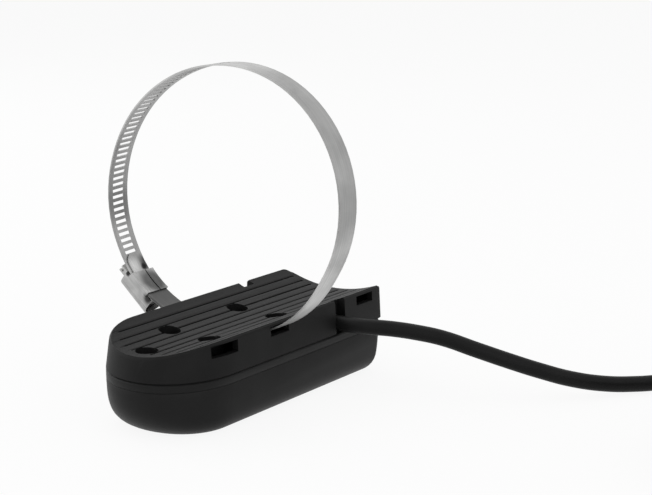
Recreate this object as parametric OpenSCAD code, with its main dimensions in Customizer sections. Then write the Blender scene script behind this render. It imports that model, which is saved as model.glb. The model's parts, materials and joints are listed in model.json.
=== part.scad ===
// Sonar transducer for a trolling motor: a potted, hull-shaped transducer with a moulded
// saddle bracket on its lid, a worm-drive band clamp through the bracket and a cable.
// Origin: middle of the flat underside. X runs from nose to back, Y across, Z up.

/* [Body] */
// Length of the body, nose tip to back face
body_len = 140.9; // [126:0.1:160]
// Width of the body at the seam under the bracket
body_w = 57; // [52:1:64]
// Length of the round nose, the long half axis of its outline
nose_len = 33; // [27:0.5:40]
// Fullness of the nose's outline, 2 for an ellipse
nose_full = 2.1; // [2:0.05:2.4]
// Height of the transducer case, floor to lid
case_h = 20.8; // [18:0.1:26]
// Wall of the transducer case
case_wall = 2.6; // [2:0.1:3.4]
// Draft of the case's sides over its height
case_draft = 0.8; // [0.4:0.1:1.2]
// Radius of the case's upright back corners
case_corner = 4.8; // [4:0.2:8]
// Round under the case's long sides
side_round = 8; // [5:0.5:10]
// Reach of the bow curve under the nose
nose_round = 15; // [10:0.5:20]
// Rise of the bow curve under the nose
nose_rise = 16; // [12:0.5:17.5]
// Round under the back
back_round = 9; // [6:0.5:12]
// Height of the round under the back
back_rise = 15; // [9:0.5:17.5]
// Height of the lid's rim
lid_h = 3.6; // [2.8:0.1:5]
// Chamfer on the edges that meet at the two seams
seam_chamfer = 0.6; // [0.2:0.05:0.8]
// Depth of the lid's lip inside the case
lip_h = 2; // [1:0.5:3]
// Gap between the lid's lip and the case wall
lip_gap = 0.2; // [0.1:0.05:0.4]

/* [Bracket] */
// Height of the bracket at its long sides
bracket_h = 15.9; // [15:0.1:22]
// Draft of the bracket's sides over its height
bracket_draft = 0.8; // [0.4:0.1:2]
// Draft of the bracket's nose over its height
nose_draft = 2.2; // [1:0.1:3]
// Wall of the bracket's sides
bracket_wall = 3; // [2.4:0.1:3.6]
// Radius of the bracket's upright back corners
bracket_corner = 2.4; // [1.5:0.1:4]
// Radius of the saddle that seats on the motor
saddle_r = 69; // [60:1:80]
// Thickness of the wall under the saddle
saddle_wall = 2.2; // [1.8:0.1:2.6]
// Round of the saddle's rim
rim_round = 1.6; // [0.8:0.1:1.8]
// Number of grooves along the saddle
groove_n = 9; // [5:2:9]
// Spacing of the grooves
groove_pitch = 5.2; // [4:0.1:5.6]
// Width of a groove
groove_w = 0.8; // [0.6:0.1:1.4]
// Depth of a groove
groove_d = 0.5; // [0.3:0.1:0.8]
// Distance of the grooves' ends from the nose rim
groove_inset = 8; // [4:0.5:9]
// Distance of the grooves' ends from the back edge
groove_back = 3; // [2:0.5:8]

/* [Strap slots] */
// Width of the middle and back strap slots
slot_w = 12.4; // [12.2:0.1:15]
// Height of the middle and back strap slots
slot_h = 4.2; // [3.8:0.1:4.8]
// Width of the front strap slot
front_slot_w = 14.9; // [13:0.1:16]
// Height of the front strap slot
front_slot_h = 5.1; // [4:0.1:5.6]
// Top of the slots, above the band's middle
slot_rise = 1.9; // [1.6:0.1:2.2]
// Front slot's middle, from the nose tip
slot_front = 28.9; // [26:0.1:31]
// Middle slot's middle, ahead of the body's middle
slot_mid = 6.1; // [3:0.1:9]
// Back slot's middle, from the back face
slot_back = 14; // [12:0.2:16]

/* [Cable channels] */
// Channel's middle, from the back face
channel_back = 32.85; // [29:0.05:36]
// Width of a channel
channel_w = 7.2; // [7:0.1:8.4]
// Depth of a channel
channel_d = 5; // [4:0.2:6]
// Height of the cable's middle above the lid
cable_rise = 4.6; // [4.4:0.1:6.4]

/* [Fixing screws] */
// Nose screw, from the nose tip
screw_nose = 12; // [10:0.5:13]
// Front pair of screws, ahead of the body's middle
screw_front = 32.1; // [29:0.1:35]
// Distance from the front pair to the back pair
screw_pitch_x = 45.2; // [42:0.2:48]
// Distance between the screws of a pair
screw_pitch_y = 21.8; // [20:0.2:24]
// Shank diameter of a screw
screw_d = 3.5; // [2.9:0.1:4]
// Length of a screw under its head
screw_len = 14; // [12:0.5:15]
// Head diameter of a screw
head_d = 7.4; // [6:0.1:8]
// Head height of a screw
head_h = 2.4; // [1.8:0.1:3]
// Diameter of the recess over a screw
recess_d = 9.6; // [8.6:0.1:10.4]
// Wall round the recess of a screw
boss_wall = 1.4; // [1:0.1:1.8]
// Floor under a screw's head
boss_floor = 2.4; // [2:0.1:3.2]

/* [Clamp] */
// Width of the clamp band
band_w = 11.7; // [11:0.1:12.6]
// Thickness of the clamp band
band_t = 0.65; // [0.5:0.05:0.8]
// Mean radius of the clamp loop
ring_r = 60; // [54:0.5:66]
// Share by which the loop is oval
ring_oval = 0.054; // [0:0.002:0.06]
// Direction of the oval's long axis
ring_turn = -21; // [-30:1:0]
// Gap between the band and the saddle's wall
band_gap = 1; // [0.9:0.1:1.4]
// Sideways set of the band in its slots
band_set = 1.9; // [0:0.1:2]
// Spacing of the band's perforations
perf_pitch = 2.8; // [2.6:0.1:3.4]
// Length of a perforation
perf_len = 7; // [5:0.1:8]
// Width of a perforation
perf_w = 1.4; // [0.9:0.1:1.7]
// Slant of a perforation
perf_slant = 3; // [0:1:10]
// Width of the band's inner tongue
tongue_w = 9.4; // [8.8:0.1:11]
// Height of the dome stamped in the tongue
dome_h = 0.8; // [0.4:0.1:1]
// Diameter of the dome
dome_d = 8.4; // [6:0.1:8.6]
// Place of the worm housing on the loop
housing_at = -43; // [-46:1:-40]
// Length of the worm housing
housing_len = 18; // [16:0.5:19]
// Length of the folded flanges under the housing
flange_len = 12; // [10:0.5:14]
// Sheet thickness of the housing
sheet_t = 0.6; // [0.5:0.05:0.8]
// Diameter of the worm over its thread
worm_d = 8.2; // [7:0.1:8.4]
// Pitch of the worm's thread
worm_pitch = 2.8; // [2.4:0.1:3.2]
// Height of the worm's thread
thread_h = 0.8; // [0.5:0.1:1]
// Depth of the worm's lower end inside the cover
worm_in = 2.2; // [1:0.1:3]
// Hexagon of the screw's head, across flats
hex_af = 5.2; // [5:0.1:6.4]
// Length of the screw's head
hex_len = 4.2; // [3:0.1:6]

/* [Elements] */
// Length of the scanning bar
bar_len = 70; // [50:1:76]
// Width of the scanning bar
bar_w = 8; // [6:0.2:10]
// Height of an element
element_h = 5; // [4:0.2:6]
// Diameter of the sonar disc
disc_d = 20; // [16:0.5:22]
// Thickness of the backing over an element
backing_t = 2; // [1.5:0.1:2.6]
// Diameter of the temperature sensor
sensor_d = 5; // [4:0.2:6]
// Length of the terminal board
board_l = 20; // [16:0.5:24]
// Width of the terminal board
board_w = 14; // [10:0.5:16]
// Thickness of the terminal board
board_t = 1.6; // [1:0.1:2]

/* [Cable and plug] */
// Diameter of the cable
cable_d = 7; // [6:0.1:7]
// Turns side by side in the coil
coil_across = 5; // [4:1:6]
// Layers of turns in the coil
coil_layers = 4; // [3:1:5]
// Mean diameter of the coil
coil_d = 99; // [94:1:104]
// Thickness of the tie round the coil
tie_t = 1.2; // [0.8:0.1:1.6]
// Width of the tie
tie_w = 12; // [8:1:16]
// Diameter of the plug's grip
plug_d = 17; // [15:0.5:17.5]
// Length of the plug's grip
plug_len = 22; // [18:1:28]
// Length of the plug's bend relief
boot_len = 24; // [20:1:30]
// Diameter of the plug's nose sleeve
sleeve_d = 13; // [11.5:0.1:13.5]
// Length of the plug's nose sleeve
sleeve_len = 10; // [8:0.5:12]
// Number of contact pins
pin_n = 7; // [4:1:8]
// Diameter of a contact pin
pin_d = 1.2; // [0.8:0.1:1.4]

/* [Hidden] */
$fn = 48;
eps = 0.01;
over = 1;

nose_x = -body_len / 2;
back_x = body_len / 2;
half_w = body_w / 2;
nose_c = nose_x + nose_len;
seam_z = case_h + lid_h;
rim_z = seam_z + bracket_h;
top_half = half_w - bracket_draft;
saddle_z = rim_z + sqrt(saddle_r * saddle_r - top_half * top_half);
saddle_low = saddle_z - saddle_r;
seat_r = saddle_r + saddle_wall + band_gap + band_t / 2;
ring_z = saddle_z - seat_r + oval_r(-90);
slot_z = (band_z(-1) + band_z(1)) / 2;
floor_z = case_wall;
channel_x = back_x - channel_back;
cable_z = seam_z + cable_rise;
clamp_x = -slot_mid;
slot_top = slot_z + slot_rise;
slots = [
    [nose_x + slot_front, front_slot_w, front_slot_h],
    [clamp_x, slot_w, slot_h],
    [back_x - slot_back, slot_w, slot_h]
];
pair_xs = [-screw_front, screw_pitch_x - screw_front];
screw_at = concat(
    [[nose_x + screw_nose, 0]],
    [for (x = pair_xs, s = [-1, 1]) [x, s * screw_pitch_y / 2]]
);
seat_z = seam_z + boss_floor;
pilot_wall = 1.8;
pilot_depth = 1;
potting_z = case_h - lip_h - over;

// Points of the nose's half outline and of a back corner
nose_steps = 28;
corner_steps = 5;

// Rise of the saddle's surface at a distance from the middle
function saddle_at(y) = saddle_z - sqrt(saddle_r * saddle_r - y * y);

// Plan outline, counter-clockwise from the far end of the nose
function full(v) = sign(v) * pow(abs(v), 2 / nose_full);
function plan(nose_in, side_in, back_in, corner) =
    let (a = nose_len - nose_in, b = half_w - side_in, back = back_x - back_in)
    concat(
        [for (i = [0:nose_steps]) let (t = 90 + 180 * i / nose_steps)
            [nose_c + a * full(cos(t)), b * full(sin(t))]],
        [for (i = [0:corner_steps]) let (t = 270 + 90 * i / corner_steps)
            [back - corner + corner * cos(t), -b + corner + corner * sin(t)]],
        [for (i = [0:corner_steps]) let (t = 90 * i / corner_steps)
            [back - corner + corner * cos(t), b - corner + corner * sin(t)]]
    );

function lift(outline, z) = [for (p = outline) [p[0], p[1], z]];

// Closed skin through rings of equal length
module skin(rings) {
    n = len(rings[0]);
    m = len(rings);
    polyhedron(
        points = [for (r = rings) each r],
        faces = concat(
            [[for (i = [0:n - 1]) i]],
            [for (j = [0:m - 2], i = [0:n - 1])
                [j * n + i, (j + 1) * n + i, (j + 1) * n + (i + 1) % n, j * n + (i + 1) % n]],
            [[for (i = [n - 1:-1:0]) (m - 1) * n + i]]
        ),
        convexity = 6
    );
}

// Inset of a quarter-ellipse round at a height above the underside
function round_in(z, reach, rise) =
    let (u = max(0, rise - z) / rise) reach * (1 - sqrt(1 - u * u));

function case_ring(z, wall) =
    let (d = case_draft * (1 - z / case_h) + wall)
    lift(plan(
        d + round_in(z, nose_round, nose_rise),
        d + round_in(z, side_round, side_round),
        d + round_in(z, back_round, back_rise),
        max(over, case_corner - wall - round_in(z, back_round, back_rise) / 2)
    ), z);

hull_steps = 11;
hull_levels = concat(
    [for (i = [0:hull_steps]) nose_rise * (1 - cos(90 * i / hull_steps))],
    [case_h - seam_chamfer]
);

// Inside of the case: the hull's own form, one wall further in
cavity_steps = 4;
module case_cavity(top) {
    low = [for (i = [0:cavity_steps]) floor_z + (nose_rise - floor_z) * (1 - cos(90 * i / cavity_steps))];
    skin(concat(
        [for (z = low) case_ring(z, case_wall)],
        [[for (p = case_ring(nose_rise, case_wall)) [p[0], p[1], top]]]
    ));
}

module screw_columns(d, z0, z1) {
    for (p = screw_at) translate([p[0], p[1], z0]) cylinder(d = d, h = z1 - z0);
}

pilot_z = seat_z - screw_len - pilot_depth;

module transducer_case() {
    color([0.16, 0.16, 0.17])
    difference() {
        skin(concat(
            [for (z = hull_levels) case_ring(z, 0)],
            [lift(plan(seam_chamfer, seam_chamfer, seam_chamfer, case_corner), case_h)]
        ));
        difference() {
            case_cavity(case_h + over);
            screw_columns(screw_d + 2 * pilot_wall, 0, case_h - lip_h);
        }
        screw_columns(screw_d, pilot_z, case_h + over);
        translate([sensor_x, sensor_y, -over]) cylinder(d = sensor_d, h = case_wall + 2 * over);
    }
}

lid_levels = [
    [case_h, seam_chamfer], [case_h + seam_chamfer, 0],
    [seam_z - seam_chamfer, 0], [seam_z, seam_chamfer]
];

module transducer_lid() {
    lip_in = case_wall + lip_gap;
    color([0.17, 0.17, 0.18])
    difference() {
        union() {
            skin([for (l = lid_levels) lift(plan(l[1], l[1], l[1], case_corner), l[0])]);
            skin([for (z = [case_h - lip_h, case_h + eps])
                lift(plan(lip_in, lip_in, lip_in, case_corner - lip_in), z)]);
        }
        screw_columns(screw_d, case_h - lip_h - over, seam_z + over);
        translate([channel_x, gland_y, case_h - lip_h - over])
            cylinder(d = spigot_d, h = lip_h + lid_h + 2 * over);
    }
}

// Sounding elements, set on the case's floor
bar_x = (pair_xs[0] + pair_xs[1]) / 2;
disc_gap = 4;
disc_x = bar_x + bar_len / 2 + disc_gap + disc_d / 2;
sensor_x = bar_x;
sensor_y = bar_w / 2 + sensor_d + 2;
board_z = floor_z + element_h + backing_t;

module bar_block(z, h) {
    translate([bar_x - bar_len / 2, -bar_w / 2, z]) cube([bar_len, bar_w, h]);
}

module disc_block(z, h) {
    translate([disc_x, 0, z]) cylinder(d = disc_d, h = h);
}

module sensor_block() {
    translate([sensor_x, sensor_y, 0]) cylinder(d = sensor_d, h = case_wall);
    translate([sensor_x, sensor_y, case_wall]) cylinder(d = sensor_d + 2, h = element_h);
}

module board_block() {
    translate([disc_x - board_l / 2, -board_w / 2, board_z]) cube([board_l, board_w, board_t]);
}

module potting_fill() {
    color([0.12, 0.12, 0.13])
    difference() {
        case_cavity(potting_z);
        screw_columns(screw_d + 2 * pilot_wall, 0, case_h);
        bar_block(floor_z - over, element_h + backing_t + over);
        disc_block(floor_z - over, element_h + backing_t + over);
        sensor_block();
        board_block();
        translate([channel_x, gland_y, spigot_z]) cylinder(d = spigot_d, h = case_h);
    }
}

module scan_bar() {
    color([0.86, 0.83, 0.74]) bar_block(floor_z, element_h);
}

module bar_backing() {
    color([0.62, 0.47, 0.3]) bar_block(floor_z + element_h, backing_t);
}

module sonar_disc() {
    color([0.86, 0.83, 0.74]) disc_block(floor_z, element_h);
}

module disc_backing() {
    color([0.62, 0.47, 0.3]) disc_block(floor_z + element_h, backing_t);
}

module temperature_sensor() {
    color([0.75, 0.75, 0.76]) sensor_block();
}

module terminal_board() {
    color([0.1, 0.35, 0.18]) board_block();
}

// Bracket: a hollow moulding, open below, with the saddle across its top
function bracket_ring(lean, inset, z) =
    lift(plan(nose_draft * lean + inset, bracket_draft * lean + inset, inset, bracket_corner), z);

function rim_ring(inset, drop) =
    [for (p = plan(nose_draft + inset, bracket_draft + inset, inset, bracket_corner))
        [p[0], p[1], saddle_at(min(abs(p[1]), saddle_r)) - drop]];

module bracket_body() {
    skin([
        bracket_ring(0, seam_chamfer, seam_z),
        bracket_ring(0, 0, seam_z + seam_chamfer),
        rim_ring(0, rim_round),
        rim_ring(rim_round * (1 - cos(30)), rim_round * (1 - sin(30))),
        rim_ring(rim_round * (1 - cos(60)), rim_round * (1 - sin(60))),
        rim_ring(rim_round, -rim_round),
        bracket_ring(1, rim_round, rim_z + 3 * rim_round)
    ]);
}

module saddle_space(r) {
    translate([nose_x - over, 0, saddle_z]) rotate([0, 90, 0])
        cylinder(r = r, h = body_len + 2 * over, $fn = 96);
}

module bracket_hollow() {
    block = channel_w + 2 * bracket_wall;
    difference() {
        skin([
            bracket_ring(0, bracket_wall, seam_z - over),
            bracket_ring(1, bracket_wall, rim_z + over)
        ]);
        saddle_space(saddle_r + saddle_wall);
        screw_columns(recess_d + 2 * boss_wall, seam_z - 2 * over, rim_z + 2 * over);
        for (s = [-1, 1])
            translate([channel_x, s * half_w, seam_z - 2 * over]) mirror([0, s > 0 ? 1 : 0, 0])
                translate([-block / 2, -over, 0])
                    cube([block, channel_d + bracket_wall + over, bracket_h + 4 * over]);
    }
}

module saddle_grooves() {
    for (i = [0:groove_n - 1]) {
        y = (i - (groove_n - 1) / 2) * groove_pitch;
        reach = nose_len * (1 - pow(1 - pow(abs(y) / half_w, nose_full), 1 / nose_full));
        x0 = nose_x + reach + groove_inset;
        translate([x0, y - groove_w / 2, saddle_at(y) - groove_d])
            cube([back_x - groove_back - x0, groove_w, bracket_h]);
    }
}

module strap_slots() {
    for (s = slots)
        translate([s[0] - s[1] / 2, -half_w - over, slot_top - s[2]])
            cube([s[1], body_w + 2 * over, s[2]]);
}

module cable_channels() {
    for (s = [-1, 1])
        translate([channel_x, s * half_w, seam_z - over]) mirror([0, s > 0 ? 1 : 0, 0])
            translate([-channel_w / 2, -over, 0])
                cube([channel_w, channel_d + over, bracket_h + 3 * over]);
}

module mount_bracket() {
    color([0.18, 0.18, 0.19])
    difference() {
        bracket_body();
        saddle_space(saddle_r);
        saddle_grooves();
        screw_columns(recess_d, seat_z, rim_z + over);
        screw_columns(screw_d, seam_z - over, seat_z + over);
        difference() {
            strap_slots();
            saddle_space(saddle_r + saddle_wall - over);
            translate([0, 0, slot_z])
                cube([body_len + over, 2 * top_half - 4 * bracket_wall, 3 * slot_h], center = true);
        }
        cable_channels();
        translate([channel_x, -half_w, cable_z]) rotate([-90, 0, 0])
            cylinder(d = neck_d + 2 * lip_gap, h = channel_d + 2 * bracket_wall);
        bracket_hollow();
    }
}

module bracket_screws() {
    color([0.2, 0.2, 0.2])
    for (p = screw_at) translate([p[0], p[1], seat_z]) {
        translate([0, 0, -screw_len]) cylinder(d = screw_d, h = screw_len + eps);
        difference() {
            cylinder(d = head_d, h = head_h);
            for (a = [0, 90]) rotate(a)
                translate([-head_d / 3, -head_h / 6, head_h / 2]) cube([2 * head_d / 3, head_h / 3, head_h]);
        }
    }
}

// Gland: an elbow on the lid that the cable enters from the near channel
neck_d = cable_d + 0.2;
gland_wall = 2;
gland_y = -half_w + channel_d + bracket_wall + 6;
spigot_d = 7;
spigot_z = board_z + board_t;
cable_start = -half_w + channel_d;

module cable_gland() {
    size = cable_d + 2 * gland_wall;
    color([0.1, 0.1, 0.1])
    union() {
        translate([channel_x - size / 2, gland_y - size / 2, seam_z])
            cube([size, size, cable_rise + cable_d / 2]);
        translate([channel_x, gland_y, cable_z]) rotate([90, 0, 0])
            cylinder(d = neck_d, h = gland_y - cable_start);
        translate([channel_x, gland_y, spigot_z]) cylinder(d = spigot_d, h = seam_z - spigot_z + eps);
    }
}

// Clamp loop in its own plane, by angle from +Y towards +Z
function oval_r(t) = ring_r * (1 + ring_oval * cos(2 * (t - ring_turn)));

// Distance from the loop's middle to the arc under the saddle
function seat_at(t) =
    let (dy = -band_set, dz = ring_z - saddle_z, b = dy * cos(t) + dz * sin(t))
    -b + sqrt(b * b - dy * dy - dz * dz + seat_r * seat_r);

function ease(u) = let (v = min(1, max(0, u))) v * v * (3 - 2 * v);

// Span under the saddle, and the span over which the loop eases into its oval
seat_span = 27;
ease_span = 40;
function from_low(t) = abs((t + 990) % 360 - 180);
function loop_r(t) =
    let (w = ease((from_low(t) - seat_span) / ease_span))
    (1 - w) * seat_at(t) + w * oval_r(t);

// Lean of the loop against the round through the same point
function loop_lean(t) = atan((loop_r(t + 1) - loop_r(t - 1)) / loop_r(t) * 90 / PI);

// Band's middle height where it crosses a side wall
function band_z(side) = saddle_z - sqrt(pow(seat_r, 2) - pow(side * top_half - band_set, 2));

// Strip along the loop: starts at the inner tongue, runs once round and ends as the outer tail
tongue_at = housing_at + 14;
tail_at = housing_at - 14;
band_turn = 360 + tongue_at - tail_at;
band_step = 4;
layer_gap = 0.15;
layer_from = 310;
layer_ease = 40;
function band_lift(u) = (band_t + layer_gap) * ease((u - layer_from) / layer_ease);
function band_point(u, offset) =
    let (t = tongue_at - u, r = loop_r(t) + band_lift(u) + offset) [r * cos(t), r * sin(t)];
band_angles = [for (u = [0:band_step:band_turn]) u];

module on_loop() {
    translate([clamp_x, 0, ring_z]) rotate([90, 0, 90]) children();
}

module at_loop(t) {
    rotate([0, 0, t]) translate([loop_r(t), 0, 0]) rotate([0, 0, -loop_lean(t)]) children();
}

// Across the band, outwards from the loop, and up along it
module at_housing() {
    on_loop() at_loop(housing_at) rotate([-90, -90, 0]) children();
}

// Angles of the perforations, from the tongue up over the far side
perf_to = 92;
perf_from = tongue_at + 0.9;
perf_at = [for (t = perf_from; t < perf_to; t = t + perf_pitch / loop_r(t) * 180 / PI) t];

module band_strip() {
    translate([0, 0, -band_w / 2]) linear_extrude(band_w)
        polygon(concat(
            [for (u = band_angles) band_point(u, -band_t / 2)],
            [for (i = [len(band_angles) - 1:-1:0]) band_point(band_angles[i], band_t / 2)]
        ));
}

// Part of the loop between two distances from the band's middle, two places across it and two angles
strip_steps = 6;
module loop_strip(low, high, from, to, start, end) {
    angles = [for (i = [0:strip_steps]) start + (end - start) * i / strip_steps];
    n = len(angles);
    translate([0, 0, from]) linear_extrude(to - from) polygon([
        for (i = [0:2 * n - 1])
            let (t = angles[i < n ? i : 2 * n - 1 - i], r = loop_r(t) + (i < n ? low : high))
            [r * cos(t), r * sin(t)]
    ]);
}

// Inner tongue: narrower than the band, with a round end and a stamped dome
tongue_r = tongue_w / 2;
function below_tip(d) = tongue_at - d / loop_r(tongue_at) * 180 / PI;

module tongue_sides() {
    for (s = [-1, 1]) {
        edges = s > 0 ? [tongue_r, band_w] : [-band_w, -tongue_r];
        loop_strip(-band_t, (band_t + layer_gap) / 2, edges[0], edges[1],
            housing_at + strap_span - slit_at, tongue_at);
    }
}

module tongue_end() {
    at_loop(below_tip(tongue_r / 2)) translate([-band_t, -tongue_r / 2, 0]) rotate([0, 90, 0])
        linear_extrude(1.5 * band_t + layer_gap / 4) difference() {
            translate([-band_w, 0]) square([2 * band_w, tongue_r + 3 * layer_gap]);
            circle(r = tongue_r + layer_gap);
        }
}

module tongue_dome() {
    ball_r = (pow(dome_d / 2, 2) + pow(dome_h, 2)) / (2 * dome_h);
    at_loop(below_tip(tongue_r)) intersection() {
        translate([ball_r - dome_h - band_t / 2, 0, 0]) sphere(r = ball_r);
        rotate([0, -90, 0]) cylinder(d = dome_d, h = dome_h + band_t);
    }
}

module clamp_band() {
    color([0.74, 0.74, 0.73])
    on_loop() difference() {
        union() {
            band_strip();
            tongue_dome();
        }
        for (t = perf_at) at_loop(t) rotate([-perf_slant, 0, 0])
            cube([8 * band_t, perf_w, perf_len], center = true);
        tongue_sides();
        tongue_end();
    }
}

// Housing: a folded strap that follows the band, and a straight round cover over the worm
strap_gap = 0.1;
side_gap = 0.15;
worm_gap = 0.35;
cover_gap = 0.9;
worm_w = 1.5 * band_t + layer_gap + worm_gap + worm_d / 2;
cover_r = worm_d / 2 + cover_gap + sheet_t;
strap_half = band_w / 2 + side_gap + sheet_t;
strap_low = -band_t / 2 - strap_gap;
strap_high = 1.5 * band_t + layer_gap + strap_gap;
strap_span = flange_len / 2 / loop_r(housing_at) * 180 / PI;

module strap_strip(low, high, from, to, span) {
    loop_strip(low, high, from, to, housing_at - span, housing_at + span);
}

flange_slit = 0.7;
slit_at = 1.2;

module housing_strap() {
    inner = strap_half - sheet_t;
    under = cover_r - sheet_t;
    far = 2 * strap_span;
    on_loop() difference() {
        strap_strip(strap_low - sheet_t, strap_high + sheet_t, -strap_half, strap_half, strap_span);
        strap_strip(strap_low, strap_high, -inner, inner, far);
        strap_strip(strap_high - over / 2, strap_high + over, -under, under, far);
        strap_strip(strap_low - over, strap_low + eps, slit_at, slit_at + flange_slit, far);
    }
}

module cover_section(r) {
    translate([0, worm_w]) circle(r = r);
    translate([-r, strap_high]) square([2 * r, worm_w - strap_high]);
}

module clamp_housing() {
    color([0.68, 0.68, 0.67])
    union() {
        housing_strap();
        at_housing() translate([0, 0, -housing_len / 2]) linear_extrude(housing_len) difference() {
            cover_section(cover_r);
            cover_section(cover_r - sheet_t);
            translate([-cover_r, strap_high - 2 * cover_r]) square(2 * cover_r);
        }
    }
}

thread_steps = 7;
thread_sides = 14;

module worm_screw() {
    thread_len = housing_len - sheet_t - worm_in;
    neck_r = worm_d / 2 - 1.5 * thread_h;
    head_z = housing_len / 2 + worm_gap;
    color([0.6, 0.6, 0.6])
    at_housing() translate([0, worm_w, 0]) {
        translate([0, 0, worm_in - housing_len / 2])
            linear_extrude(thread_len, twist = -360 * thread_len / worm_pitch,
                slices = round(thread_steps * thread_len / worm_pitch), $fn = thread_sides)
                translate([thread_h / 2, 0]) circle(r = worm_d / 2 - thread_h / 2);
        translate([0, 0, head_z - worm_gap - 2 * sheet_t])
            cylinder(r = neck_r, h = 2 * sheet_t + worm_gap + eps);
        translate([0, 0, head_z]) cylinder(d = hex_af, h = sheet_t);
        difference() {
            translate([0, 0, head_z + sheet_t]) rotate(30)
                cylinder(d = hex_af / cos(30), h = hex_len, $fn = 6);
            translate([0, 0, head_z + sheet_t + hex_len])
                cube([2 * hex_af, 2 * sheet_t, hex_len], center = true);
        }
    }
}

// Cable: out of the near channel, down to the floor and on to the coil
coil_at = [63, -250.6];
turn_pitch = cable_d + 0.2;
coil_low = tie_t;
coil_top = coil_low + coil_layers * turn_pitch;
coil_half = coil_across * turn_pitch / 2;
cable_sides = 10;
cable_route = [
    [37.6, -30, 29], [38.5, -36, 29], [40.9, -42, 28.8], [45.7, -50, 28.2], [50.7, -60, 27],
    [55.7, -70, 25], [60.7, -84, 21], [67.6, -97, 16.4], [75.5, -108, 12], [84.3, -119, 8],
    [95, -130, 5.2], [107, -139.5, 3.8], [118, -149, 3.6], [126.5, -161, 3.6],
    [131, -175, 3.6], [132.5, -190, 3.6], [132.3, -206, 3.6],
    [131, -222, 3.7], [129.4, -238, 4], [127.7, -252, 4.5], [125.8, -262.6, 4.8]
];
tail_route = [
    [-23, -56.5, 3.6], [-36.5, -43.5, 3.6], [-43, -28, 3.6], [-46.5, -17, 3.6], [-48, -4, 3.6],
    [-46.5, 8, 3.8], [-41.5, 19.5, 4.4], [-33, 28.5, 5.6], [-22.5, 34.5, 7.2], [-12, 37, 8.3]
];

function unit(v) = v / norm(v);
function heading(route, i) = unit(route[min(i + 1, len(route) - 1)] - route[max(i - 1, 0)]);
function tube_ring(route, i, along) =
    let (side = unit(cross(along, [0, 0, 1])), up = cross(side, along))
    [for (k = [0:cable_sides - 1]) let (a = 360 * k / cable_sides)
        route[i] + cable_d / 2 * (cos(a) * side + sin(a) * up)];

module cable_tube(route, first, last) {
    n = len(route);
    skin([for (i = [0:n - 1])
        tube_ring(route, i, i == 0 ? first : i == n - 1 ? last : heading(route, i))]);
}

module cable_run() {
    start = [channel_x, cable_start, cable_z];
    color([0.08, 0.08, 0.08])
        cable_tube(concat([start], cable_route), [0, -1, 0], heading(cable_route, len(cable_route) - 1));
}

module coil_section(r0, r1, z0, z1, round) {
    translate([r0 + round, z0]) square([r1 - r0 - 2 * round, z1 - z0]);
    translate([r0, z0 + round]) square([r1 - r0, z1 - z0 - 2 * round]);
    for (r = [r0 + round, r1 - round], z = [z0 + round, z1 - round]) translate([r, z]) circle(r = round);
}

module cable_coil() {
    color([0.08, 0.08, 0.08])
    translate([coil_at[0], coil_at[1], 0]) rotate_extrude($fn = 96)
        coil_section(coil_d / 2 - coil_half, coil_d / 2 + coil_half, coil_low, coil_top, cable_d / 2);
}

tie_turn = 325;

module coil_tie() {
    r0 = coil_d / 2 - coil_half;
    r1 = coil_d / 2 + coil_half;
    wrap = asin(tie_w / coil_d);
    color([0.13, 0.13, 0.13])
    translate([coil_at[0], coil_at[1], 0]) rotate([0, 0, tie_turn - wrap])
        rotate_extrude(angle = 2 * wrap, $fn = 96) difference() {
            coil_section(r0 - tie_t, r1 + tie_t, coil_low - tie_t, coil_top + tie_t, cable_d / 2 + tie_t);
            coil_section(r0, r1, coil_low, coil_top, cable_d / 2);
        }
}

plug_at = [coil_at[0] - 3, coil_at[1] + 37, coil_top + plug_d / 2];

module cable_tail() {
    points = [for (p = tail_route) [coil_at[0] + p[0], coil_at[1] + p[1], coil_top + p[2]]];
    color([0.08, 0.08, 0.08]) cable_tube(concat(points, [plug_at]), heading(points, 0), [1, 0, 0]);
}

// Plug, lying on the coil with its axis along X
module plug_turn(x) {
    translate([plug_at[0] + x, plug_at[1], plug_at[2]]) rotate([0, 90, 0]) children();
}

boot_ribs = 4;

module plug_boot() {
    rib = boot_len / (2 * boot_ribs + 1);
    boot_r = plug_d / 2 - 2;
    color([0.1, 0.1, 0.1])
    plug_turn(0) difference() {
        cylinder(r1 = cable_d / 2 + 1.2, r2 = boot_r, h = boot_len);
        for (i = [0:boot_ribs - 1]) translate([0, 0, (2 * i + 1) * rib]) difference() {
            cylinder(r = plug_d, h = rib);
            cylinder(r1 = cable_d / 2 + 0.6, r2 = boot_r - 1.2, h = rib);
        }
    }
}

grip_ribs = 12;

module plug_grip() {
    color([0.12, 0.12, 0.12])
    plug_turn(boot_len) difference() {
        cylinder(d = plug_d, h = plug_len);
        for (i = [0:grip_ribs - 1]) rotate(i * 360 / grip_ribs)
            translate([plug_d / 2 + 0.4, 0, plug_len / 5]) cylinder(r = 1.2, h = plug_len * 3 / 5, $fn = 24);
    }
}

module plug_sleeve() {
    color([0.2, 0.2, 0.2])
    plug_turn(boot_len + plug_len) difference() {
        cylinder(d = sleeve_d, h = sleeve_len);
        translate([0, 0, -over]) cylinder(d = sleeve_d - 2.4, h = sleeve_len + 2 * over);
    }
}

insert_h = 3;

module plug_insert() {
    color([0.75, 0.72, 0.6])
    plug_turn(boot_len + plug_len) difference() {
        cylinder(d = sleeve_d - 2.4, h = insert_h);
        plug_pin_places(-over, insert_h + 2 * over);
    }
}

module plug_pin_places(z, h) {
    for (i = [0:pin_n - 1]) rotate(i * 360 / pin_n)
        translate([sleeve_d / 4, 0, z]) cylinder(d = pin_d, h = h, $fn = 24);
}

module plug_pins() {
    color([0.85, 0.7, 0.35]) plug_turn(boot_len + plug_len) plug_pin_places(0, sleeve_len - 2);
}

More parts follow.
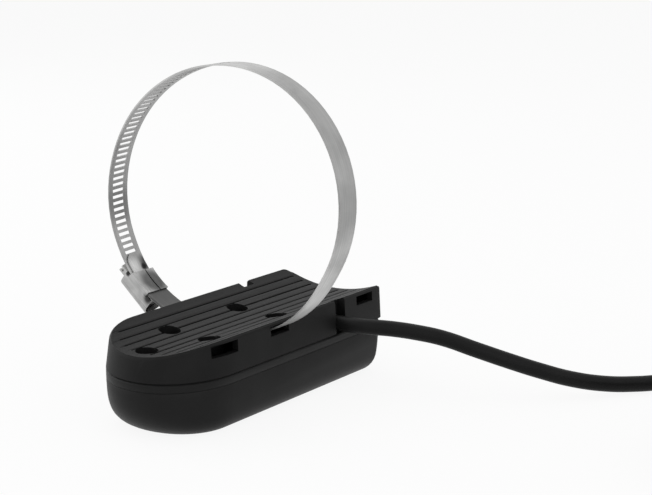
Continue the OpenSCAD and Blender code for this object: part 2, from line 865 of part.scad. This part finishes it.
transducer_case();
transducer_lid();
potting_fill();
scan_bar();
bar_backing();
sonar_disc();
disc_backing();
temperature_sensor();
terminal_board();
mount_bracket();
bracket_screws();
cable_gland();
clamp_band();
clamp_housing();
worm_screw();
cable_run();
cable_coil();
coil_tie();
cable_tail();
plug_boot();
plug_grip();
plug_sleeve();
plug_insert();
plug_pins();
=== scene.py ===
import json
import math

import bmesh
import bpy
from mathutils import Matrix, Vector


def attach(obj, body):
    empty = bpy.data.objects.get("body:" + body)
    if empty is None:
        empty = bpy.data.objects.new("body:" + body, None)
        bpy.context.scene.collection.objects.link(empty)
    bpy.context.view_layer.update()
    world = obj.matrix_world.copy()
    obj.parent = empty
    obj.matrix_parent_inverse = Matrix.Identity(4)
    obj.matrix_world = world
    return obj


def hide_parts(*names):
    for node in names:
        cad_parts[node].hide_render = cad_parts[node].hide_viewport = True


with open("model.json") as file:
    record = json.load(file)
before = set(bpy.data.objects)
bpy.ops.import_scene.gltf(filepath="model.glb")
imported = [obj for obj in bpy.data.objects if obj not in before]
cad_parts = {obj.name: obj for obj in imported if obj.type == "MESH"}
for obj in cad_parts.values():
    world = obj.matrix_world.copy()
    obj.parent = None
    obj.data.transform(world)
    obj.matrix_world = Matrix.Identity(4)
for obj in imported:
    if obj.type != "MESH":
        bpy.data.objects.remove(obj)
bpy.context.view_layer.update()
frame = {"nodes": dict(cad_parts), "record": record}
nodes = frame["nodes"]
scene = bpy.context.scene
scene.view_settings.view_transform = "Standard"
print("frame loaded:", len(nodes), "nodes")

# camera at the photograph's viewing angle
shot = {
    "place": (-0.52075, -0.4246, 0.2197),
    "turn": -54.08,    # degrees about the upright axis
    "tilt": 12.855,    # degrees down from level
    "lens": 88.43,
    "sensor": 36.0,
    "nearest": 0.01,
    "farthest": 30,
}


def addCamera(view):
    data = bpy.data.cameras.new("shotCamera")
    data.lens = view["lens"]
    data.sensor_width = view["sensor"]
    data.clip_start = view["nearest"]
    data.clip_end = view["farthest"]
    camera = bpy.data.objects.new("shotCamera", data)
    camera.location = view["place"]
    camera.rotation_euler = (math.radians(90 - view["tilt"]), 0, math.radians(view["turn"]))
    scene.collection.objects.link(camera)
    scene.camera = camera


addCamera(shot)
print("camera set")


# material helpers
def newMaterial(name):
    material = bpy.data.materials.new(name)
    material.use_nodes = True
    tree = material.node_tree
    coords = tree.nodes.new("ShaderNodeTexCoord")
    return material, tree, tree.nodes["Principled BSDF"], coords.outputs["Object"]


def addNoise(tree, coords, scale, detail, stretch=(1, 1, 1), turn=(0, 0, 0)):
    mapping = tree.nodes.new("ShaderNodeMapping")
    mapping.vector_type = "TEXTURE"    # turns before it stretches
    mapping.inputs["Scale"].default_value = [1 / k for k in stretch]
    mapping.inputs["Rotation"].default_value = turn
    noise = tree.nodes.new("ShaderNodeTexNoise")
    noise.inputs["Scale"].default_value = scale
    noise.inputs["Detail"].default_value = detail
    tree.links.new(coords, mapping.inputs["Vector"])
    tree.links.new(mapping.outputs["Vector"], noise.inputs["Vector"])
    return noise.outputs["Fac"]


def addMath(tree, kind, first, second, clamp=False):
    result = tree.nodes.new("ShaderNodeMath")
    result.operation = kind
    result.use_clamp = clamp
    for socket, value in zip(result.inputs, (first, second)):
        if isinstance(value, (int, float)):
            socket.default_value = value
        else:
            tree.links.new(value, socket)
    return result.outputs[0]


def addShades(tree, source, dark, light, span=(0.3, 0.7)):
    ramp = tree.nodes.new("ShaderNodeValToRGB")
    low, high = ramp.color_ramp.elements
    low.position, high.position = span
    low.color = (*dark, 1)
    high.color = (*light, 1)
    tree.links.new(source, ramp.inputs["Fac"])
    return ramp.outputs["Color"]


def addRange(tree, source, low, high, span=(0.25, 0.75)):
    spread = tree.nodes.new("ShaderNodeMapRange")
    spread.inputs["From Min"].default_value, spread.inputs["From Max"].default_value = span
    spread.inputs["To Min"].default_value = low
    spread.inputs["To Max"].default_value = high
    tree.links.new(source, spread.inputs["Value"])
    return spread.outputs["Result"]


def addBump(tree, shader, source, depth, before=None):
    bump = tree.nodes.new("ShaderNodeBump")
    bump.inputs["Strength"].default_value = 1
    bump.inputs["Distance"].default_value = depth
    tree.links.new(source, bump.inputs["Height"])
    if before:
        tree.links.new(before, bump.inputs["Normal"])
    tree.links.new(bump.outputs["Normal"], shader.inputs["Normal"])
    return bump.outputs["Normal"]


# moulded plastics and rubbers: fine grain, soft mottling, slightly uneven gloss
# grain is in steps of noise for a metre, depth is the grain's height in metres
plastics = {
    "casePlastic": {
        "dark": (0.008, 0.008, 0.008), "light": (0.011, 0.011, 0.011),
        "rough": (0.42, 0.5), "shine": 0.12, "grain": 2600, "depth": 0.000035,
    },
    "bracketPlastic": {
        "dark": (0.0065, 0.0065, 0.0065), "light": (0.0095, 0.0095, 0.0095),
        "rough": (0.46, 0.56), "shine": 0.11, "grain": 2200, "depth": 0.00004,
    },
    "pottingResin": {
        "dark": (0.008, 0.008, 0.008), "light": (0.014, 0.014, 0.014),
        "rough": (0.2, 0.3), "shine": 0.5, "grain": 600, "depth": 0.00002,
    },
    "boardLaminate": {
        "dark": (0.012, 0.07, 0.028), "light": (0.02, 0.1, 0.04),
        "rough": (0.35, 0.45), "shine": 0.5, "grain": 3000, "depth": 0.00002,
    },
    "screwBlack": {
        "dark": (0.008, 0.008, 0.008), "light": (0.02, 0.02, 0.02),
        "rough": (0.35, 0.5), "shine": 0.5, "grain": 1800, "depth": 0.00003,
    },
    "cableJacket": {
        "dark": (0.0045, 0.0045, 0.0045), "light": (0.007, 0.007, 0.007),
        "rough": (0.42, 0.52), "shine": 0.125, "grain": 1400, "depth": 0.00003,
    },
    "plugRubber": {
        "dark": (0.009, 0.009, 0.009), "light": (0.014, 0.014, 0.014),
        "rough": (0.55, 0.68), "shine": 0.35, "grain": 2200, "depth": 0.00005,
    },
    "plugPlastic": {
        "dark": (0.016, 0.016, 0.017), "light": (0.024, 0.024, 0.025),
        "rough": (0.28, 0.36), "shine": 0.5, "grain": 1500, "depth": 0.00002,
    },
    "elementCeramic": {
        "dark": (0.58, 0.54, 0.44), "light": (0.72, 0.68, 0.57),
        "rough": (0.5, 0.65), "shine": 0.4, "grain": 1500, "depth": 0.00005,
    },
    "backingCork": {
        "dark": (0.2, 0.12, 0.06), "light": (0.46, 0.32, 0.18),
        "rough": (0.8, 0.9), "shine": 0.2, "grain": 700, "depth": 0.0002,
    },
}
mottling = {"scale": 70, "detail": 5, "depth": 1.5, "grainDetail": 2}    # depth is times the grain's


def makePlastic(name):
    look = plastics[name]
    material, tree, shader, coords = newMaterial(name)
    mottle = addNoise(tree, coords, mottling["scale"], mottling["detail"])
    grain = addNoise(tree, coords, look["grain"], mottling["grainDetail"])
    tree.links.new(addShades(tree, mottle, look["dark"], look["light"]), shader.inputs["Base Color"])
    tree.links.new(addRange(tree, grain, *look["rough"]), shader.inputs["Roughness"])
    shader.inputs["Specular IOR Level"].default_value = look["shine"]
    soft = addBump(tree, shader, mottle, look["depth"] * mottling["depth"])
    addBump(tree, shader, grain, look["depth"], soft)
    return material


# metals: streaks along the rolling or turning direction, with broad cloudy places
# a painted-light patch is a painted reflection, highlight or shade: it has its centre, the distance within
# which it is full, the one past which it is gone, and its tone
metals = {
    "clampSteel": {
        "dark": (0.26, 0.26, 0.258), "light": (0.43, 0.43, 0.426), "rough": (0.36, 0.48),
        "streak": (2600, 24, 24), "turn": (0, 0, 0), "depth": 0.000002,
        # painted reflections, highlights and shade on the strip
        "paintedLight": [
            ((-0.004, 0.036, 0.040), 0.007, 0.015, 0.27),         # painted shade and dark reflection on the strip below the housing
            ((-0.0015, 0.0515, 0.0535), 0.001, 0.006, 0.16),      # painted shade where the strip leaves the housing, then a painted highlight on its end
            ((-0.0035, 0.0508, 0.0520), 0.0009, 0.0022, 0.1),
            ((-0.0092, 0.0517, 0.0530), 0.001, 0.006, 1.6),
            ((-0.006, -0.046, 0.052), 0.014, 0.045, 1.7),         # painted reflection, lighter, on the near side of the loop
            ((-0.006, 0.0625, 0.079), 0.004, 0.013, 0.62),        # painted reflection on the far side: darker low, lighter higher up
            ((-0.006, 0.045, 0.121), 0.022, 0.036, 1.25),
            ((-0.006, 0.0, 0.147), 0.010, 0.032, 1.25),           # painted reflection, lighter, on the top
        ],
    },
    "housingSteel": {
        "dark": (0.17, 0.17, 0.168), "light": (0.6, 0.6, 0.595), "rough": (0.34, 0.46),
        "streak": (4200, 4200, 60), "turn": (-0.8592, 0, 0), "depth": 0.000006,
        "paintedLight": [
            # painted shade on the cover beside the strip, and in the dark gaps at the housing's ends
            ((-0.0045, 0.0435, 0.0475), 0.004, 0.009, 0.25),
            ((-0.0117, 0.053, 0.0498), 0.0006, 0.0018, 0.08),
            ((-0.0117, 0.0415, 0.0400), 0.001, 0.0035, 0.12),
        ],
    },
    "screwSteel": {
        "dark": (0.36, 0.36, 0.355), "light": (0.52, 0.52, 0.51), "rough": (0.22, 0.34),
        "streak": (1500, 1500, 1500), "turn": (0, 0, 0), "depth": 0.00001, "paintedLight": [],
    },
    "pinBrass": {
        "dark": (0.6, 0.42, 0.16), "light": (0.78, 0.58, 0.26), "rough": (0.18, 0.28),
        "streak": (400, 3000, 3000), "turn": (0, 0, 0), "depth": 0.000006, "paintedLight": [],
    },
}
clouding = {"scale": 90, "detail": 3, "streakDetail": 4, "share": 0.5}    # streaks and clouds count half each


# painted reflection, highlight or shade: a lighter or darker place on the metal
def addPaintedLight(tree, coords, source, centre, near, far, tone):
    away = tree.nodes.new("ShaderNodeVectorMath")
    away.operation = "DISTANCE"
    away.inputs[1].default_value = centre
    tree.links.new(coords, away.inputs[0])
    spread = tree.nodes.new("ShaderNodeMapRange")
    spread.interpolation_type = "SMOOTHSTEP"
    spread.inputs["From Min"].default_value = near
    spread.inputs["From Max"].default_value = far
    spread.inputs["To Min"].default_value = tone
    tree.links.new(away.outputs["Value"], spread.inputs["Value"])
    toned = tree.nodes.new("ShaderNodeVectorMath")
    toned.operation = "SCALE"
    tree.links.new(source, toned.inputs[0])
    tree.links.new(spread.outputs["Result"], toned.inputs["Scale"])
    return toned.outputs["Vector"]


def makeMetal(name):
    look = metals[name]
    material, tree, shader, coords = newMaterial(name)
    streaks = addNoise(tree, coords, 1, clouding["streakDetail"], look["streak"], look["turn"])
    clouds = addNoise(tree, coords, clouding["scale"], clouding["detail"])
    tone = addMath(tree, "MULTIPLY", addMath(tree, "ADD", streaks, clouds), clouding["share"])
    shades = addShades(tree, tone, look["dark"], look["light"])
    # the painted reflections, highlights and shade go onto the base colour
    for paintedSpot in look["paintedLight"]:
        shades = addPaintedLight(tree, coords, shades, *paintedSpot)
    tree.links.new(shades, shader.inputs["Base Color"])
    tree.links.new(addRange(tree, clouds, *look["rough"]), shader.inputs["Roughness"])
    shader.inputs["Metallic"].default_value = 1
    addBump(tree, shader, streaks, look["depth"])
    return material


# woven strap: fine ribs, a little uneven
strap = {
    "dark": (0.006, 0.006, 0.006), "light": (0.03, 0.03, 0.03),
    "rough": 0.85, "shine": 0.2, "ribs": 175, "uneven": 1.5, "depth": 0.00025,
}


def makeStrap(look):
    material, tree, shader, coords = newMaterial("tieStrap")
    weave = tree.nodes.new("ShaderNodeTexWave")
    weave.bands_direction = "Z"
    weave.inputs["Scale"].default_value = look["ribs"]
    weave.inputs["Distortion"].default_value = look["uneven"]
    tree.links.new(coords, weave.inputs["Vector"])
    ribs = weave.outputs["Fac"]
    tree.links.new(addShades(tree, ribs, look["dark"], look["light"]), shader.inputs["Base Color"])
    shader.inputs["Roughness"].default_value = look["rough"]
    shader.inputs["Specular IOR Level"].default_value = look["shine"]
    addBump(tree, shader, ribs, look["depth"])
    return material


finish = {name: makePlastic(name) for name in plastics}
finish.update({name: makeMetal(name) for name in metals})
finish["tieStrap"] = makeStrap(strap)
print("finishes made:", len(finish))

# cable: from the near channel to the floor, then a coil, then the plug
# in metres, apart from the points of run and tail, which are in millimetres as in the solids
cable = {
    "diameter": 0.007,
    "length": 5.5,
    "exit": (0.0376, -0.0235, 0.029),
    "run": [
        (37.6, -30, 29), (38.5, -36, 29), (40.9, -42, 28.8), (45.7, -50, 28.2), (50.7, -60, 27),
        (55.7, -70, 25), (60.7, -84, 21), (67.6, -97, 16.4), (75.5, -108, 12), (84.3, -119, 8),
        (95, -130, 5.2), (107, -139.5, 3.8), (118, -149, 3.6), (126.5, -161, 3.6), (131, -175, 3.6),
        (132.5, -190, 3.6), (132.3, -206, 3.6), (131, -222, 3.7), (129.4, -238, 4), (127.7, -252, 4.5),
    ],
    "coilCentre": (0.063, -0.2506),
    "coilRadius": 0.0495,    # at the middle of the turns
    "across": 5,             # turns side by side
    "layers": 4,
    "pitch": 0.0072,         # from one turn to the next
    "coilLow": 0.0012,
    "steps": 16,             # points in a turn
    "start": -10.8,          # degrees, where each turn begins
    "leave": 0.15,           # part of the last turn that is laid before the cable comes off it
    "shift": (0.70, 0.95),   # part of a turn in which the cable moves one place over
    "climb": (0.35, 0.60),   # part of a turn in which it climbs one layer
    "tail": [                # from the coil's centre and top
        (11, -63, -2), (-7.7, -62.9, 1.6), (-23, -56.5, 3.6), (-36.5, -43.5, 3.6), (-43, -28, 3.6),
        (-46.5, -17, 3.6), (-48, -4, 3.6), (-46.5, 8, 3.8), (-41.5, 19.5, 4.4), (-33, 28.5, 5.6),
        (-22.5, 34.5, 7.2), (-12, 37, 8.3), (-3, 37, 8.5),
    ],
    "roundness": 6,          # steps round the jacket
    "lengthSteps": 6,        # steps from one point to the next
}
perMetre = 1000    # millimetres


def smoothStep(value, span):
    share = min(1, max(0, (value - span[0]) / (span[1] - span[0])))
    return share * share * (3 - 2 * share)


def coilPoints(lay):
    points = []
    place, layer, move = lay["across"] - 1, 0, -1
    height = lay["coilLow"] + lay["pitch"] / 2
    innermost = lay["coilRadius"] - (lay["across"] - 1) / 2 * lay["pitch"]
    while layer < lay["layers"]:
        atEnd = place + move in (-1, lay["across"])
        step = -move if atEnd else move
        for k in range(lay["steps"]):
            part = k / lay["steps"]
            up = smoothStep(part, lay["climb"]) if atEnd else 0
            radius = innermost + (place + step * smoothStep(part, lay["shift"])) * lay["pitch"]
            angle = math.radians(lay["start"] - 360 * part)
            if atEnd and layer == lay["layers"] - 1 and part > lay["leave"]:
                return points
            points.append((
                lay["coilCentre"][0] + radius * math.cos(angle),
                lay["coilCentre"][1] + radius * math.sin(angle),
                height + (layer + up) * lay["pitch"],
            ))
        if atEnd:
            layer += 1
            move = -move
        place += step
    return points


def makeCable(lay):
    coilTop = (*lay["coilCentre"], lay["coilLow"] + lay["layers"] * lay["pitch"])
    run = [tuple(v / perMetre for v in point) for point in lay["run"]]
    tail = [tuple(c + v / perMetre for c, v in zip(coilTop, point)) for point in lay["tail"]]
    points = [lay["exit"]] + run + coilPoints(lay) + tail
    curve = bpy.data.curves.new("cable", "CURVE")
    curve.dimensions = "3D"
    curve.bevel_depth = lay["diameter"] / 2
    curve.bevel_resolution = lay["roundness"]
    curve.resolution_u = lay["lengthSteps"]
    curve.use_fill_caps = True
    line = curve.splines.new("BEZIER")
    line.bezier_points.add(len(points) - 1)
    for knot, point in zip(line.bezier_points, points):
        knot.co = point
        knot.handle_left_type = knot.handle_right_type = "AUTO"
    curve.materials.append(finish["cableJacket"])
    piece = bpy.data.objects.new("cable", curve)
    scene.collection.objects.link(piece)
    return piece


cablePiece = makeCable(cable)
print("cable laid")

# bracket: the deck's grooves get sloping shoulders
bracket = {
    "saddleRadius": 0.069,
    "grooves": 9,
    "pitch": 0.0052,
    "grooveWidth": 0.0008,
    "shoulder": 0.0006,    # width of the slope on each side of a groove
    "drop": 0.00022,       # how far the slope goes down
    "lipNear": 0.00003,    # how close a vertex counts as on a groove's lip
    "deckNear": 0.0001,    # and how close as on the deck
    "deckUp": 0.8,         # a face of the deck points up at least this much
    "snap": 1e-7,          # a vertex this close to a cut is on it
}
saddle = next(mount for mount in frame["record"]["mounts"] if mount["name"] == "motor_saddle")
saddleAxis = saddle["pos_m"][2] + bracket["saddleRadius"]


def onSaddle(vert, look):
    radius = math.hypot(vert.co.y, vert.co.z - saddleAxis)
    return abs(radius - look["saddleRadius"]) < look["deckNear"]


def deckFaces(bm, look):
    upward = [face for face in bm.faces if face.normal.z > look["deckUp"]]
    return [face for face in upward if all(onSaddle(vert, look) for vert in face.verts)]


def grooveMiddle(look, k):
    return (k - (look["grooves"] - 1) / 2) * look["pitch"]


def grooveLips(bm, look, k):
    middle, half = grooveMiddle(look, k), look["grooveWidth"] / 2
    beside = [vert for vert in bm.verts if abs(abs(vert.co.y - middle) - half) < look["lipNear"]]
    return [vert for vert in beside if onSaddle(vert, look)]


def cutDeck(bm, look, point, direction):
    deck = deckFaces(bm, look)
    parts = dict.fromkeys(deck)    # each edge and vertex once, in a fixed order
    for face in deck:
        parts.update(dict.fromkeys(face.edges))
        parts.update(dict.fromkeys(face.verts))
    bmesh.ops.bisect_plane(bm, geom=list(parts), dist=look["snap"], plane_co=point, plane_no=direction)


def slopeGrooves(bm, look):
    reach = look["grooveWidth"] / 2 + look["shoulder"]
    for k in range(look["grooves"]):
        middle = grooveMiddle(look, k)
        along = [vert.co.x for vert in grooveLips(bm, look, k)]
        front, back = min(along) - look["shoulder"], max(along) + look["shoulder"]
        for side in (middle - reach, middle + reach):
            cutDeck(bm, look, (0, side, 0), (0, 1, 0))
        for end in (front, back):
            cutDeck(bm, look, (end, 0, 0), (1, 0, 0))
    for k in range(look["grooves"]):    # after all the cuts, so that each slope ends at its own
        for vert in grooveLips(bm, look, k):
            vert.co.z -= look["drop"]


# the seam between case and lid is shallower than the one above it
seam = {
    "height": 0.0208,
    "near": 0.00003,        # how close a vertex counts as in the seam
    "fill": 0.00024,        # how far the seam comes out
    "slope": (0.5, 0.9),    # a chamfer's normal has an upright part between these
}


def fillSeam(bm, look):
    least, most = look["slope"]
    moves = []
    for vert in bm.verts:
        chamfers = [face for face in vert.link_faces if least < abs(face.normal.z) < most]
        if chamfers and abs(vert.co.z - look["height"]) < look["near"]:
            outward = sum((face.normal for face in chamfers), Vector())
            outward.z = 0
            moves.append((vert, outward.normalized() * look["fill"]))
    for vert, move in moves:
        vert.co += move
    print("seam vertices:", len(moves))


reshaped = {
    "mount_bracket": (slopeGrooves, bracket),
    "transducer_case": (fillSeam, seam),
    "transducer_lid": (fillSeam, seam),
}

# copies of the solids, merged, with softened edges
dressing = {
    "merge": 1e-6,
    "flat": 0.3,      # degrees, below which faces are joined
    "sharp": 34,      # degrees, above which an edge is one
    "segments": 2,
}


def mergedCopy(name):
    bm = bmesh.new()
    bm.from_mesh(nodes[name].data)
    bmesh.ops.remove_doubles(bm, verts=bm.verts[:], dist=dressing["merge"])
    flat = math.radians(dressing["flat"])
    bmesh.ops.dissolve_limit(bm, angle_limit=flat, verts=bm.verts[:], edges=bm.edges[:])
    if name in reshaped:
        reshape, look = reshaped[name]
        reshape(bm, look)
    mesh = bpy.data.meshes.new(name + "Dressed")
    bm.to_mesh(mesh)
    bm.free()
    return mesh


def dressNode(name, material, soften, sharp=dressing["sharp"], body="transducer"):
    mesh = mergedCopy(name)
    if "custom_normal" in mesh.attributes:    # the solid's corner normals don't fit the merged mesh
        mesh.attributes.remove(mesh.attributes["custom_normal"])
    for face in mesh.polygons:
        face.use_smooth = True
    mesh.set_sharp_from_angle(angle=math.radians(sharp))
    mesh.materials.append(finish[material])
    piece = bpy.data.objects.new(name + "Dressed", mesh)
    scene.collection.objects.link(piece)
    edge = piece.modifiers.new("softEdge", "BEVEL")
    edge.width = soften
    edge.segments = dressing["segments"]
    edge.limit_method = "ANGLE"
    edge.angle_limit = math.radians(sharp)
    edge.harden_normals = True
    edge.miter_outer = "MITER_ARC"
    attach(piece, body)
    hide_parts(name)
    return piece


# finish and width of the softened edge
dressed = {
    "transducer_case": ("casePlastic", 0.00018),
    "transducer_lid": ("casePlastic", 0.00015),
    "mount_bracket": ("bracketPlastic", 0.00018),
    "bracket_screws": ("screwBlack", 0.00015),
    "cable_gland": ("cableJacket", 0.0003),
    "clamp_band": ("clampSteel", 0.00008),
    "clamp_housing": ("housingSteel", 0.00012),
    "coil_tie": ("tieStrap", 0.0002),
    "plug_boot": ("plugRubber", 0.0003),
    "plug_grip": ("plugRubber", 0.0004),
    "plug_sleeve": ("plugPlastic", 0.0003),
    "plug_insert": ("plugPlastic", 0.0001),
    "plug_pins": ("pinBrass", 0.0002),
}
pieces = {name: dressNode(name, *look) for name, look in dressed.items()}
pieces["worm_screw"] = dressNode("worm_screw", "screwSteel", 0.0001, sharp=40, body="clamp_screw")
print("pieces dressed:", len(pieces))

# inner pieces keep their solids
inner = {
    "potting_fill": "pottingResin",
    "scan_bar": "elementCeramic",
    "bar_backing": "backingCork",
    "sonar_disc": "elementCeramic",
    "disc_backing": "backingCork",
    "temperature_sensor": "screwSteel",
    "terminal_board": "boardLaminate",
}
for name, material in inner.items():
    nodes[name].data.materials.clear()
    nodes[name].data.materials.append(finish[material])
print("inner pieces finished:", len(inner))

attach(cablePiece, "transducer")
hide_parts("cable_run", "cable_coil", "cable_tail")
print("cable declared")

# floor and light
studio = {
    "floorHalf": 5.0,
    "floorTone": (0.9, 0.9, 0.9),
    "floorGlow": 0.9,     # share of plain white where the floor is seen directly
    "skyLevel": 0.55,
    "aim": (0, 0, 0.04),
    "lamps": [
        {"name": "topLamp", "place": (0.1, 0.45, 1.0), "size": 1.4, "power": 3.0},
        {"name": "leftLamp", "place": (-0.3, 0.95, 0.3), "size": 1.8, "power": 8.0},
        {"name": "sideLamp", "place": (-0.3, -0.95, 0.35), "size": 1.5, "power": 4.5},
    ],
}


def seenDirectly(tree):
    path = tree.nodes.new("ShaderNodeLightPath")
    total = path.outputs["Is Camera Ray"]
    for other in ("Is Glossy Ray", "Is Transmission Ray"):
        total = addMath(tree, "ADD", total, path.outputs[other], clamp=True)
    return total


def mixInto(tree, outKind, share, lit, white):
    mix = tree.nodes.new("ShaderNodeMixShader")
    out = tree.nodes.new(outKind)
    tree.links.new(share, mix.inputs["Fac"])
    tree.links.new(lit.outputs[0], mix.inputs[1])
    tree.links.new(white.outputs[0], mix.inputs[2])
    tree.links.new(mix.outputs[0], out.inputs["Surface"])


def makeFloor(room):
    bm = bmesh.new()
    bmesh.ops.create_grid(bm, x_segments=1, y_segments=1, size=room["floorHalf"])
    mesh = bpy.data.meshes.new("floor")
    bm.to_mesh(mesh)
    bm.free()
    material = bpy.data.materials.new("floor")
    material.use_nodes = True
    tree = material.node_tree
    tree.nodes.clear()
    matte = tree.nodes.new("ShaderNodeBsdfDiffuse")
    matte.inputs["Color"].default_value = (*room["floorTone"], 1)
    white = tree.nodes.new("ShaderNodeEmission")
    share = addMath(tree, "MULTIPLY", seenDirectly(tree), room["floorGlow"])
    mixInto(tree, "ShaderNodeOutputMaterial", share, matte, white)
    mesh.materials.append(material)
    floor = bpy.data.objects.new("floor", mesh)
    scene.collection.objects.link(floor)


def makeSky(room):
    world = bpy.data.worlds.new("studioSky")
    scene.world = world
    world.use_nodes = True
    tree = world.node_tree
    tree.nodes.clear()
    plain = tree.nodes.new("ShaderNodeBackground")
    plain.inputs["Strength"].default_value = room["skyLevel"]
    white = tree.nodes.new("ShaderNodeBackground")
    for shade in (plain, white):
        shade.inputs["Color"].default_value = (1, 1, 1, 1)
    mixInto(tree, "ShaderNodeOutputWorld", seenDirectly(tree), plain, white)


def addLamp(lamp, aim):
    data = bpy.data.lights.new(lamp["name"], "AREA")
    data.size = lamp["size"]
    data.energy = lamp["power"]
    light = bpy.data.objects.new(lamp["name"], data)
    light.location = lamp["place"]
    light.rotation_mode = "QUATERNION"
    light.rotation_quaternion = (Vector(aim) - Vector(lamp["place"])).to_track_quat("-Z", "Y")
    scene.collection.objects.link(light)


makeFloor(studio)
makeSky(studio)
for lamp in studio["lamps"]:
    addLamp(lamp, studio["aim"])
print("floor and light set")
